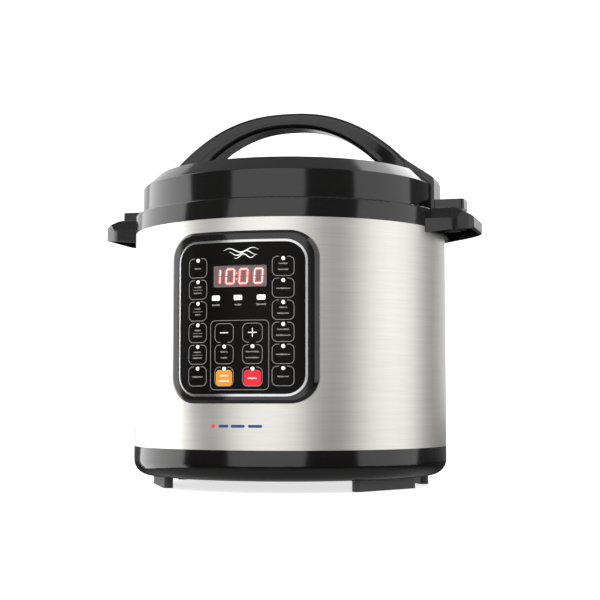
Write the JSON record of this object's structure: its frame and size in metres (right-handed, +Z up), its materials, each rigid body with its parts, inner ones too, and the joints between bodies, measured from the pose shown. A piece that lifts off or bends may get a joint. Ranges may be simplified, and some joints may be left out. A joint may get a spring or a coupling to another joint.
{
  "type": "electric pressure cooker",
  "caption": "Round electric pressure cooker with brushed steel body, black twist-lock lid with carrying arch, side handles and a curved key panel.",
  "frame": {"origin": "on the body's vertical axis, at the height of the surface the feet stand on", "axes": "+Z up, -Y out of the control panel (front), X through the two side handles and along the lid's arch"},
  "size_m": [0.332, 0.3025, 0.323],
  "materials": {
    "black_plastic": "fine satin moulded black",
    "black_gloss": "polished black moulding",
    "foot_plastic": "matt black feet",
    "zinc_steel": "zinc plated screws",
    "plain_steel": "plain pressed sheet",
    "cast_aluminium": "turned cast aluminium",
    "spring_steel": "drawn wire",
    "pot_steel": "satin stainless",
    "brushed_shell": "stainless, brushed around the body",
    "bright_trim": "bright silver line",
    "panel_black": "gloss black panel film",
    "smoked_window": "smoked display window",
    "light_pipe": "white light pipes",
    "part_plastic": "component bodies",
    "board_green": "circuit board",
    "pin_brass": "plated brass blades",
    "clear_plastic": "clear moulded cup",
    "silicone": "translucent white silicone",
    "float_metal": "red anodised float pin"
  },
  "bodies": {
    "cooker": {"base_tray": "black_plastic", "case_screws": "zinc_steel", "chassis_plate": "plain_steel", "collar_ring": "black_gloss", "control_board": "board_green", "cup_bracket": "black_plastic", "display_module": "part_plastic", "display_window": "smoked_window", "feet": "foot_plastic", "handle_left": "black_gloss", "handle_right": "black_gloss", "heater_terminals": "plain_steel", "heating_plate": "cast_aluminium", "indicator_lights": "light_pipe", "inlet_pins": "pin_brass", "lock_pot": "plain_steel", "panel_bezel": "black_gloss", "panel_face": "panel_black", "panel_trim": "bright_trim", "power_board": "board_green", "power_board_parts": "part_plastic", "power_inlet": "black_plastic", "pressure_switch": "part_plastic", "sensor_sleeve": "plain_steel", "sensor_spring": "spring_steel", "steel_shell": "brushed_shell", "tact_switches": "part_plastic", "thermal_fuse": "part_plastic"},
    "pot": {"inner_pot": "pot_steel"},
    "seal": {"sealing_ring": "silicone"},
    "lid": {"lid_cover": "black_gloss", "steel_lid": "pot_steel", "ring_rack": "pot_steel", "lid_handle": "black_gloss", "lid_handle_grip": "black_plastic", "lid_screws": "zinc_steel", "valve_stem": "pot_steel", "anti_block_shield": "pot_steel"},
    "pressure_valve": {"pressure_valve": "black_plastic"},
    "float_valve": {"float_valve": "float_metal"},
    "condensation_cup": {"condensation_cup": "clear_plastic"},
    "sensor_cap": {"sensor_cap": "cast_aluminium"},
    "key_left_1": {"key_left_1": "panel_black"},
    "key_right_1": {"key_right_1": "panel_black"},
    "key_left_2": {"key_left_2": "panel_black"},
    "key_right_2": {"key_right_2": "panel_black"},
    "key_left_3": {"key_left_3": "panel_black"},
    "key_right_3": {"key_right_3": "panel_black"},
    "key_left_4": {"key_left_4": "panel_black"},
    "key_right_4": {"key_right_4": "panel_black"},
    "key_left_5": {"key_left_5": "panel_black"},
    "key_right_5": {"key_right_5": "panel_black"},
    "key_left_6": {"key_left_6": "panel_black"},
    "key_right_6": {"key_right_6": "panel_black"},
    "key_minus": {"key_minus": "panel_black"},
    "key_plus": {"key_plus": "panel_black"},
    "key_delay": {"key_delay": "panel_black"},
    "key_pressure": {"key_pressure": "panel_black"},
    "key_warm": {"key_warm": "panel_black"},
    "key_start": {"key_start": "panel_black"}
  },
  "joints": [
    {"name": "pot_lift", "type": "slide", "parent": "cooker", "child": "pot", "axis": [0, 0, 1], "range_m": [0, 0.17]},
    {"name": "lid_lift", "type": "slide", "parent": "pot", "child": "seal", "axis": [0, 0, 1], "range_m": [0, 0.25]},
    {"name": "lid_turn", "type": "hinge", "parent": "seal", "child": "lid", "pos_m": [0, 0, 0.232], "axis": [0, 0, 1], "range_deg": [0, 30]},
    {"name": "valve_turn", "type": "hinge", "parent": "lid", "child": "pressure_valve", "pos_m": [0, 0.062, 0.28], "axis": [0, 0, 1], "range_deg": [0, 60]},
    {"name": "float_rise", "type": "slide", "parent": "lid", "child": "float_valve", "axis": [0, 0, 1], "range_m": [0, 0.004]},
    {"name": "cup_slide", "type": "slide", "parent": "cooker", "child": "condensation_cup", "axis": [0, 1, 0], "range_m": [0, 0.03]},
    {"name": "sensor_press", "type": "slide", "parent": "cooker", "child": "sensor_cap", "axis": [0, 0, 1], "range_m": [-0.003, 0], "stiffness_N_per_m": 400, "springref_m": 0.003, "deforming": ["sensor_spring"]},
    {"name": "key_left_1_press", "type": "slide", "parent": "cooker", "child": "key_left_1", "axis": [0.2526, 0.9676, 0], "range_m": [0, 0.0005], "stiffness_N_per_m": 800, "springref_m": -0.0005},
    {"name": "key_right_1_press", "type": "slide", "parent": "cooker", "child": "key_right_1", "axis": [-0.2526, 0.9676, 0], "range_m": [0, 0.0005], "stiffness_N_per_m": 800, "springref_m": -0.0005},
    {"name": "key_left_2_press", "type": "slide", "parent": "cooker", "child": "key_left_2", "axis": [0.2526, 0.9676, 0], "range_m": [0, 0.0005], "stiffness_N_per_m": 800, "springref_m": -0.0005},
    {"name": "key_right_2_press", "type": "slide", "parent": "cooker", "child": "key_right_2", "axis": [-0.2526, 0.9676, 0], "range_m": [0, 0.0005], "stiffness_N_per_m": 800, "springref_m": -0.0005},
    {"name": "key_left_3_press", "type": "slide", "parent": "cooker", "child": "key_left_3", "axis": [0.2526, 0.9676, 0], "range_m": [0, 0.0005], "stiffness_N_per_m": 800, "springref_m": -0.0005},
    {"name": "key_right_3_press", "type": "slide", "parent": "cooker", "child": "key_right_3", "axis": [-0.2526, 0.9676, 0], "range_m": [0, 0.0005], "stiffness_N_per_m": 800, "springref_m": -0.0005},
    {"name": "key_left_4_press", "type": "slide", "parent": "cooker", "child": "key_left_4", "axis": [0.2526, 0.9676, 0], "range_m": [0, 0.0005], "stiffness_N_per_m": 800, "springref_m": -0.0005},
    {"name": "key_right_4_press", "type": "slide", "parent": "cooker", "child": "key_right_4", "axis": [-0.2526, 0.9676, 0], "range_m": [0, 0.0005], "stiffness_N_per_m": 800, "springref_m": -0.0005},
    {"name": "key_left_5_press", "type": "slide", "parent": "cooker", "child": "key_left_5", "axis": [0.2526, 0.9676, 0], "range_m": [0, 0.0005], "stiffness_N_per_m": 800, "springref_m": -0.0005},
    {"name": "key_right_5_press", "type": "slide", "parent": "cooker", "child": "key_right_5", "axis": [-0.2526, 0.9676, 0], "range_m": [0, 0.0005], "stiffness_N_per_m": 800, "springref_m": -0.0005},
    {"name": "key_left_6_press", "type": "slide", "parent": "cooker", "child": "key_left_6", "axis": [0.2526, 0.9676, 0], "range_m": [0, 0.0005], "stiffness_N_per_m": 800, "springref_m": -0.0005},
    {"name": "key_right_6_press", "type": "slide", "parent": "cooker", "child": "key_right_6", "axis": [-0.2526, 0.9676, 0], "range_m": [0, 0.0005], "stiffness_N_per_m": 800, "springref_m": -0.0005},
    {"name": "key_minus_press", "type": "slide", "parent": "cooker", "child": "key_minus", "axis": [0.0834, 0.9965, 0], "range_m": [0, 0.0005], "stiffness_N_per_m": 800, "springref_m": -0.0005},
    {"name": "key_plus_press", "type": "slide", "parent": "cooker", "child": "key_plus", "axis": [-0.0834, 0.9965, 0], "range_m": [0, 0.0005], "stiffness_N_per_m": 800, "springref_m": -0.0005},
    {"name": "key_delay_press", "type": "slide", "parent": "cooker", "child": "key_delay", "axis": [0.0834, 0.9965, 0], "range_m": [0, 0.0005], "stiffness_N_per_m": 800, "springref_m": -0.0005},
    {"name": "key_pressure_press", "type": "slide", "parent": "cooker", "child": "key_pressure", "axis": [-0.0834, 0.9965, 0], "range_m": [0, 0.0005], "stiffness_N_per_m": 800, "springref_m": -0.0005},
    {"name": "key_warm_press", "type": "slide", "parent": "cooker", "child": "key_warm", "axis": [0.0834, 0.9965, 0], "range_m": [0, 0.0005], "stiffness_N_per_m": 800, "springref_m": -0.0005},
    {"name": "key_start_press", "type": "slide", "parent": "cooker", "child": "key_start", "axis": [-0.0834, 0.9965, 0], "range_m": [0, 0.0005], "stiffness_N_per_m": 800, "springref_m": -0.0005}
  ]
}
